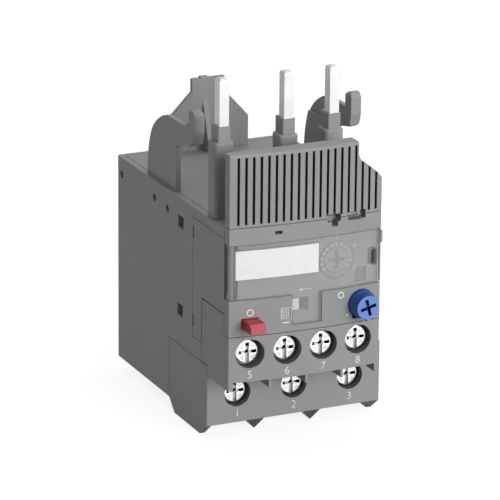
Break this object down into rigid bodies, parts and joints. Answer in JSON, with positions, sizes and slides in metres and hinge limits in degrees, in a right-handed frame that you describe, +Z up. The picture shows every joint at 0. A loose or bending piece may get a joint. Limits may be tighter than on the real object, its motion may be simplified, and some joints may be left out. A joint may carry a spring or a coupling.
{
  "type": "thermal overload relay",
  "caption": "Plug-in thermal overload relay with snap hooks, contact pins, clamp terminals, setting dial under a hinged cover, and trip linkage driven by heated strips.",
  "frame": {"origin": "centre of the footprint at the foot of the terminal block", "axes": "+Z up towards the plug-in pins, -Y towards the front panel, +X right"},
  "size_m": [0.045, 0.071, 0.088],
  "materials": {
    "shell_plastic": "fine moulded grain",
    "clear_plastic": "clear moulded plastic",
    "label": "printed pale field",
    "dial_plastic": "moulded",
    "blue_plastic": "satin moulded",
    "red_plastic": "satin moulded",
    "test_plastic": "moulded",
    "inner_plastic": "natural moulded",
    "steel_pin": "ground",
    "spring_steel": "drawn wire",
    "bimetal": "rolled strip",
    "heater_wire": "resistance wire over glass sleeve",
    "contact_metal": "bright tin plate",
    "screw_steel": "zinc plate"
  },
  "bodies": {
    "housing": {"rear_housing": "shell_plastic", "top_carrier": "shell_plastic", "ribbed_shield": "shell_plastic", "front_panel": "shell_plastic", "mechanism_housing": "shell_plastic", "aux_terminal_block": "shell_plastic", "main_terminal_block": "shell_plastic", "status_window": "clear_plastic", "adjusting_axle": "steel_pin", "trip_lever_pin": "steel_pin", "contact_pin_left": "contact_metal", "contact_pin_middle": "contact_metal", "contact_pin_right": "contact_metal", "busbar_left": "contact_metal", "busbar_middle": "contact_metal", "busbar_right": "contact_metal", "aux_plate_1": "contact_metal", "aux_plate_2": "contact_metal", "aux_plate_3": "contact_metal", "aux_plate_4": "contact_metal", "reset_spring": "spring_steel", "stop_spring": "spring_steel", "contact_spring": "spring_steel"},
    "cover": {"transparent_cover": "clear_plastic", "label_plate": "label"},
    "setting_dial": {"setting_dial": "dial_plastic"},
    "adjusting_lever": {"adjusting_lever": "inner_plastic", "compensation_strip": "bimetal"},
    "reset_plunger": {"reset_plunger": "inner_plastic"},
    "reset_knob": {"reset_knob": "blue_plastic"},
    "stop_button": {"stop_button": "red_plastic"},
    "test_slide": {"test_slide": "test_plastic"},
    "trip_slide": {"trip_slide": "inner_plastic"},
    "phase_loss_slide": {"phase_loss_slide": "inner_plastic"},
    "trip_lever": {"trip_lever": "inner_plastic"},
    "contact_bar": {"contact_bar": "inner_plastic", "closed_contact": "contact_metal", "open_contact": "contact_metal"},
    "bimetal_left": {"bimetal_strip_left": "bimetal", "heater_winding_left": "heater_wire"},
    "main_screw_left": {"main_screw_left": "screw_steel"},
    "clamp_cage_left": {"clamp_cage_left": "screw_steel"},
    "bimetal_middle": {"bimetal_strip_middle": "bimetal", "heater_winding_middle": "heater_wire"},
    "main_screw_middle": {"main_screw_middle": "screw_steel"},
    "clamp_cage_middle": {"clamp_cage_middle": "screw_steel"},
    "bimetal_right": {"bimetal_strip_right": "bimetal", "heater_winding_right": "heater_wire"},
    "main_screw_right": {"main_screw_right": "screw_steel"},
    "clamp_cage_right": {"clamp_cage_right": "screw_steel"},
    "aux_washer_1": {"aux_washer_1": "screw_steel"},
    "aux_screw_1": {"aux_screw_1": "screw_steel"},
    "aux_washer_2": {"aux_washer_2": "screw_steel"},
    "aux_screw_2": {"aux_screw_2": "screw_steel"},
    "aux_washer_3": {"aux_washer_3": "screw_steel"},
    "aux_screw_3": {"aux_screw_3": "screw_steel"},
    "aux_washer_4": {"aux_washer_4": "screw_steel"},
    "aux_screw_4": {"aux_screw_4": "screw_steel"}
  },
  "joints": [
    {"name": "cover_hinge", "type": "hinge", "parent": "housing", "child": "cover", "pos_m": [-0.02125, -0.0288, 0.0435], "axis": [0, 0, -1], "range_deg": [0, 110]},
    {"name": "dial_turn", "type": "hinge", "parent": "housing", "child": "setting_dial", "pos_m": [0.00457, -0.03005, 0.04465], "axis": [0, 1, 0], "range_deg": [-120, 120]},
    {"name": "adjusting_lever_turn", "type": "hinge", "parent": "housing", "child": "adjusting_lever", "pos_m": [-0.006, -0.01955, 0.04], "axis": [0, 1, 0], "range_deg": [-3, 3]},
    {"name": "reset_press", "type": "slide", "parent": "housing", "child": "reset_plunger", "axis": [0, 1, 0], "range_m": [0, 0.002], "stiffness_N_per_m": 400, "springref_m": -0.001, "deforming": ["reset_spring"]},
    {"name": "reset_knob_turn", "type": "hinge", "parent": "reset_plunger", "child": "reset_knob", "pos_m": [0.01065, -0.03005, 0.0336], "axis": [0, 1, 0], "range_deg": [0, 90]},
    {"name": "stop_press", "type": "slide", "parent": "housing", "child": "stop_button", "axis": [0, 1, 0], "range_m": [0, 0.002], "stiffness_N_per_m": 300, "springref_m": -0.001, "deforming": ["stop_spring"]},
    {"name": "test_push", "type": "slide", "parent": "housing", "child": "test_slide", "axis": [1, 0, 0], "range_m": [0, 0.0022], "stiffness_N_per_m": 150, "springref_m": -0.001},
    {"name": "trip_travel", "type": "slide", "parent": "housing", "child": "trip_slide", "axis": [1, 0, 0], "range_m": [0, 0.0018], "stiffness_N_per_m": 200, "springref_m": -0.0005},
    {"name": "phase_loss_travel", "type": "slide", "parent": "housing", "child": "phase_loss_slide", "axis": [1, 0, 0], "range_m": [0, 0.00181]},
    {"name": "trip_lever_turn", "type": "hinge", "parent": "housing", "child": "trip_lever", "pos_m": [0.0056, -0.01145, 0.038], "axis": [0, 0, -1], "range_deg": [0, 11.5]},
    {"name": "contact_travel", "type": "slide", "parent": "housing", "child": "contact_bar", "axis": [0, 1, 0], "range_m": [0, 0.00181], "deforming": ["contact_spring"]},
    {"name": "bimetal_left_bend", "type": "hinge", "parent": "housing", "child": "bimetal_left", "pos_m": [-0.01465, 0.01245, 0.017], "axis": [0, 1, 0], "range_deg": [0, 3.9]},
    {"name": "main_screw_left_turn", "type": "hinge", "parent": "housing", "child": "main_screw_left", "pos_m": [-0.01465, -0.01505, 0.0104], "axis": [0, 1, 0], "range_deg": [0, 1801]},
    {"name": "clamp_cage_left_travel", "type": "slide", "parent": "housing", "child": "clamp_cage_left", "axis": [0, -1, 0], "range_m": [0, 0.0035]},
    {"name": "bimetal_middle_bend", "type": "hinge", "parent": "housing", "child": "bimetal_middle", "pos_m": [0, 0.01245, 0.017], "axis": [0, 1, 0], "range_deg": [0, 3.9]},
    {"name": "main_screw_middle_turn", "type": "hinge", "parent": "housing", "child": "main_screw_middle", "pos_m": [0, -0.01505, 0.0104], "axis": [0, 1, 0], "range_deg": [0, 1801]},
    {"name": "clamp_cage_middle_travel", "type": "slide", "parent": "housing", "child": "clamp_cage_middle", "axis": [0, -1, 0], "range_m": [0, 0.0035]},
    {"name": "bimetal_right_bend", "type": "hinge", "parent": "housing", "child": "bimetal_right", "pos_m": [0.01465, 0.01245, 0.017], "axis": [0, 1, 0], "range_deg": [0, 3.9]},
    {"name": "main_screw_right_turn", "type": "hinge", "parent": "housing", "child": "main_screw_right", "pos_m": [0.01465, -0.01505, 0.0104], "axis": [0, 1, 0], "range_deg": [0, 1801]},
    {"name": "clamp_cage_right_travel", "type": "slide", "parent": "housing", "child": "clamp_cage_right", "axis": [0, -1, 0], "range_m": [0, 0.0035]},
    {"name": "aux_washer_1_travel", "type": "slide", "parent": "housing", "child": "aux_washer_1", "axis": [0, 1, 0], "range_m": [0, 0.002]},
    {"name": "aux_screw_1_turn", "type": "hinge", "parent": "aux_washer_1", "child": "aux_screw_1", "pos_m": [-0.01735, -0.02705, 0.0247], "axis": [0, 1, 0], "range_deg": [0, 1201]},
    {"name": "aux_washer_2_travel", "type": "slide", "parent": "housing", "child": "aux_washer_2", "axis": [0, 1, 0], "range_m": [0, 0.002]},
    {"name": "aux_screw_2_turn", "type": "hinge", "parent": "aux_washer_2", "child": "aux_screw_2", "pos_m": [-0.00822, -0.02705, 0.0247], "axis": [0, 1, 0], "range_deg": [0, 1201]},
    {"name": "aux_washer_3_travel", "type": "slide", "parent": "housing", "child": "aux_washer_3", "axis": [0, 1, 0], "range_m": [0, 0.002]},
    {"name": "aux_screw_3_turn", "type": "hinge", "parent": "aux_washer_3", "child": "aux_screw_3", "pos_m": [0.00091, -0.02705, 0.0247], "axis": [0, 1, 0], "range_deg": [0, 1201]},
    {"name": "aux_washer_4_travel", "type": "slide", "parent": "housing", "child": "aux_washer_4", "axis": [0, 1, 0], "range_m": [0, 0.002]},
    {"name": "aux_screw_4_turn", "type": "hinge", "parent": "aux_washer_4", "child": "aux_screw_4", "pos_m": [0.01004, -0.02705, 0.0247], "axis": [0, 1, 0], "range_deg": [0, 1201]}
  ],
  "couplings": [
    {"joint": "adjusting_lever_turn", "follows": "dial_turn", "ratio": 0.024092},
    {"joint": "phase_loss_travel", "follows": "trip_travel", "ratio": 1},
    {"joint": "trip_lever_turn", "follows": "trip_travel", "rad_per_m": 111.11},
    {"joint": "contact_travel", "follows": "trip_travel", "ratio": 1},
    {"joint": "bimetal_left_bend", "follows": "trip_travel", "rad_per_m": 37.453},
    {"joint": "main_screw_left_turn", "follows": "clamp_cage_left_travel", "rad_per_m": 8976},
    {"joint": "bimetal_middle_bend", "follows": "trip_travel", "rad_per_m": 37.453},
    {"joint": "main_screw_middle_turn", "follows": "clamp_cage_middle_travel", "rad_per_m": 8976},
    {"joint": "bimetal_right_bend", "follows": "trip_travel", "rad_per_m": 37.453},
    {"joint": "main_screw_right_turn", "follows": "clamp_cage_right_travel", "rad_per_m": 8976},
    {"joint": "aux_screw_1_turn", "follows": "aux_washer_1_travel", "rad_per_m": 10472},
    {"joint": "aux_screw_2_turn", "follows": "aux_washer_2_travel", "rad_per_m": 10472},
    {"joint": "aux_screw_3_turn", "follows": "aux_washer_3_travel", "rad_per_m": 10472},
    {"joint": "aux_screw_4_turn", "follows": "aux_washer_4_travel", "rad_per_m": 10472}
  ]
}
